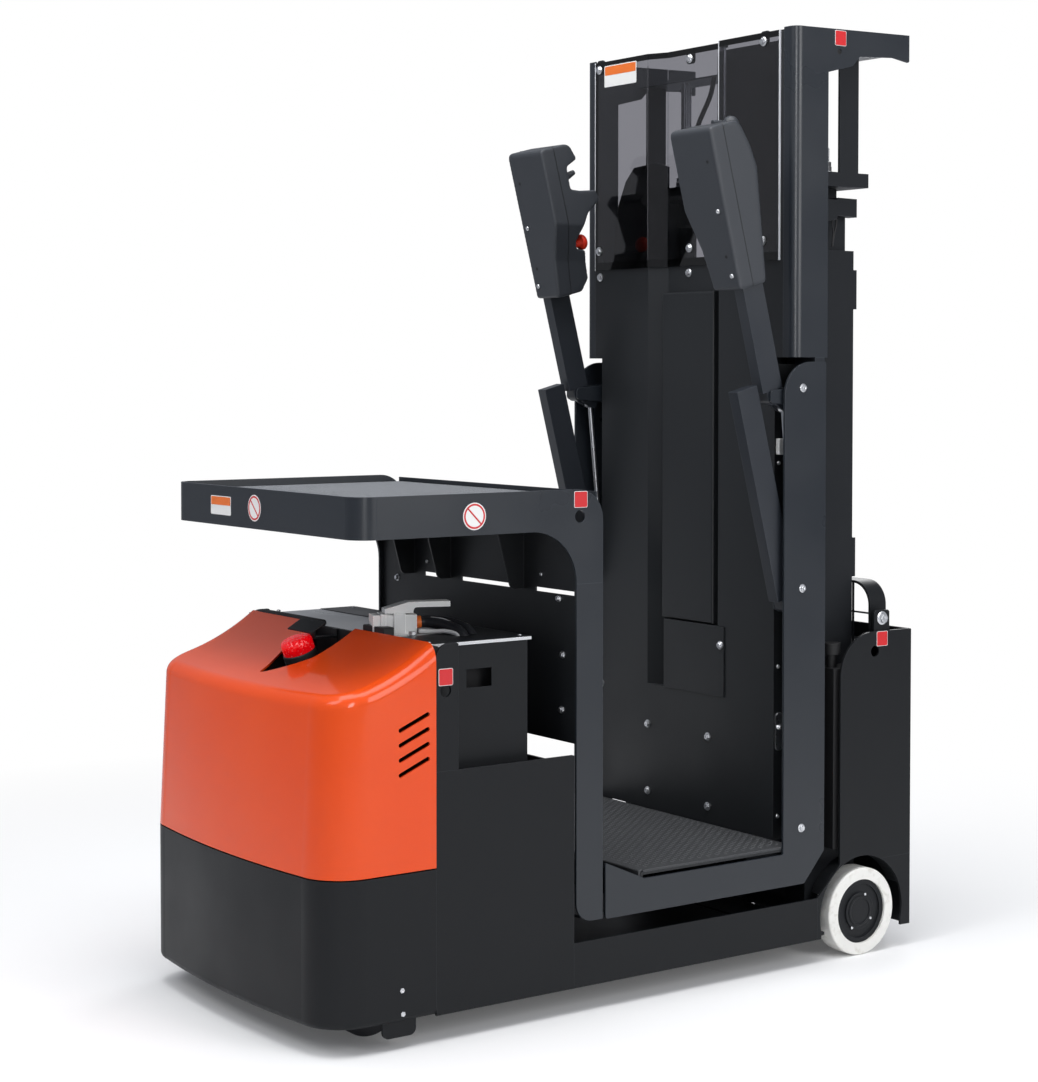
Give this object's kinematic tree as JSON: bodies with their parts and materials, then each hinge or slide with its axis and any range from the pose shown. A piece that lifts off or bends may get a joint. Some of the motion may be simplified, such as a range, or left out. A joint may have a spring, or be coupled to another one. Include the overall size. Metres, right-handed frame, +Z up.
{
  "type": "order picker truck",
  "caption": "Stand-on order picker truck: operator's cabin on a telescopic mast, load tray in front, fold-down side guards, rear drive wheels.",
  "frame": {"origin": "on the ground, at the centre of the truck's outline in plan", "axes": "+X forward to the hood, +Y to the operator's left, +Z up"},
  "size_m": [1.586, 0.778, 2.103],
  "materials": {
    "black_steel": "satin powder coat",
    "hood_orange": "gloss paint",
    "battery_case": "matt",
    "motor_grey": "satin",
    "black_plastic": "matt",
    "tyre_white": "matt non-marking rubber",
    "hub_black": "satin",
    "zinc": "bright zinc",
    "caster_rubber": "matt",
    "chrome_rod": "polished",
    "grey_rubber": "matt ribbed",
    "clear_plastic": "smoked, polished",
    "pod_plastic": "fine grained",
    "lens_red": "clear red prismatic",
    "grey_plastic": "matt",
    "cable_rubber": "matt",
    "red_plastic": "gloss"
  },
  "bodies": {
    "chassis": {"front_skirt": "black_steel", "hood": "hood_orange", "front_side_plates": "black_steel", "battery_columns": "black_steel", "low_rails": "black_steel", "rear_side_plates": "black_steel", "wheel_side_plates": "black_steel", "base_frame": "black_steel", "skids": "black_steel", "battery": "battery_case", "battery_panels": "black_steel", "battery_lid": "black_steel", "drive_units": "motor_grey", "rear_box": "black_steel", "oil_tank": "black_plastic", "hoop_guard": "black_steel", "mast_outer": "black_steel", "mast_base": "black_steel", "lift_cylinder": "black_steel", "lamp_lens": "lens_red", "lamp_bracket": "black_steel", "connector": "grey_plastic", "connector_lever": "grey_plastic", "battery_cables": "cable_rubber"},
    "wheel_near": {"drive_tyre_near": "tyre_white", "drive_hub_near": "hub_black"},
    "wheel_far": {"drive_tyre_far": "tyre_white", "drive_hub_far": "hub_black"},
    "caster_near": {"caster_fork_near": "zinc"},
    "caster_wheel_near": {"caster_wheel_near": "caster_rubber"},
    "caster_far": {"caster_fork_far": "zinc"},
    "caster_wheel_far": {"caster_wheel_far": "caster_rubber"},
    "mast_middle": {"mast_middle": "black_steel", "lift_rod": "chrome_rod"},
    "carriage": {"mast_inner": "black_steel", "carriage_plates": "black_steel", "front_posts": "black_steel", "tray_sides": "black_steel", "rear_posts": "black_steel", "tray": "black_steel", "tray_mat": "grey_rubber", "front_panel": "black_steel", "floor_pan": "black_steel", "floor_mat": "grey_rubber", "back_wall": "black_steel", "wall_covers": "black_steel", "window_panes": "clear_plastic", "upper_frame": "black_steel", "guard_hinges": "black_steel"},
    "guard_near": {"knob_near": "black_plastic", "waist_arm_near": "black_steel", "pod_near": "pod_plastic"},
    "guard_far": {"lever_far": "black_plastic", "stop_button": "red_plastic", "waist_arm_far": "black_steel", "pod_far": "pod_plastic"},
    "knee_near": {"knee_bar_near": "black_steel"},
    "link_near": {"guard_link_near": "zinc"},
    "knee_far": {"knee_bar_far": "black_steel"},
    "link_far": {"guard_link_far": "zinc"}
  },
  "joints": [
    {"name": "wheel_near_roll", "type": "hinge", "parent": "chassis", "child": "wheel_near", "pos_m": [-0.64, 0.364, 0.1], "axis": [0, 1, 0], "continuous": true},
    {"name": "caster_near_swivel", "type": "hinge", "parent": "chassis", "child": "caster_near", "pos_m": [0.64, 0.25, 0.2], "axis": [0, 0, 1], "continuous": true},
    {"name": "caster_near_roll", "type": "hinge", "parent": "caster_near", "child": "caster_wheel_near", "pos_m": [0.604, 0.25, 0.075], "axis": [0, 1, 0], "continuous": true},
    {"name": "wheel_far_roll", "type": "hinge", "parent": "chassis", "child": "wheel_far", "pos_m": [-0.64, -0.364, 0.1], "axis": [0, 1, 0], "continuous": true},
    {"name": "caster_far_swivel", "type": "hinge", "parent": "chassis", "child": "caster_far", "pos_m": [0.64, -0.25, 0.2], "axis": [0, 0, 1], "continuous": true},
    {"name": "caster_far_roll", "type": "hinge", "parent": "caster_far", "child": "caster_wheel_far", "pos_m": [0.604, -0.25, 0.075], "axis": [0, 1, 0], "continuous": true},
    {"name": "mast_lift", "type": "slide", "parent": "chassis", "child": "mast_middle", "axis": [0, 0, 1], "range_m": [0, 1.25]},
    {"name": "cabin_lift", "type": "slide", "parent": "mast_middle", "child": "carriage", "axis": [0, 0, 1], "range_m": [0, 1.25]},
    {"name": "guard_near_fold", "type": "hinge", "parent": "carriage", "child": "guard_near", "pos_m": [-0.382, 0.357, 1.278], "axis": [0, 1, 0], "range_deg": [0, 75.5]},
    {"name": "knee_near_fold", "type": "hinge", "parent": "carriage", "child": "knee_near", "pos_m": [-0.428, 0.357, 0.815], "axis": [0, 1, 0], "range_deg": [0, 75.5]},
    {"name": "link_near_turn", "type": "hinge", "parent": "guard_near", "child": "link_near", "pos_m": [-0.42357, 0.357, 1.254], "axis": [0, 1, 0], "range_deg": [-75.5, 0]},
    {"name": "guard_far_fold", "type": "hinge", "parent": "carriage", "child": "guard_far", "pos_m": [-0.382, -0.357, 1.278], "axis": [0, 1, 0], "range_deg": [0, 75.5]},
    {"name": "knee_far_fold", "type": "hinge", "parent": "carriage", "child": "knee_far", "pos_m": [-0.428, -0.357, 0.815], "axis": [0, 1, 0], "range_deg": [0, 75.5]},
    {"name": "link_far_turn", "type": "hinge", "parent": "guard_far", "child": "link_far", "pos_m": [-0.42357, -0.357, 1.254], "axis": [0, 1, 0], "range_deg": [-75.5, 0]}
  ],
  "couplings": [
    {"joint": "mast_lift", "follows": "cabin_lift", "ratio": 1},
    {"joint": "knee_near_fold", "follows": "guard_near_fold", "ratio": 1},
    {"joint": "link_near_turn", "follows": "guard_near_fold", "ratio": -1},
    {"joint": "knee_far_fold", "follows": "guard_far_fold", "ratio": 1},
    {"joint": "link_far_turn", "follows": "guard_far_fold", "ratio": -1}
  ]
}
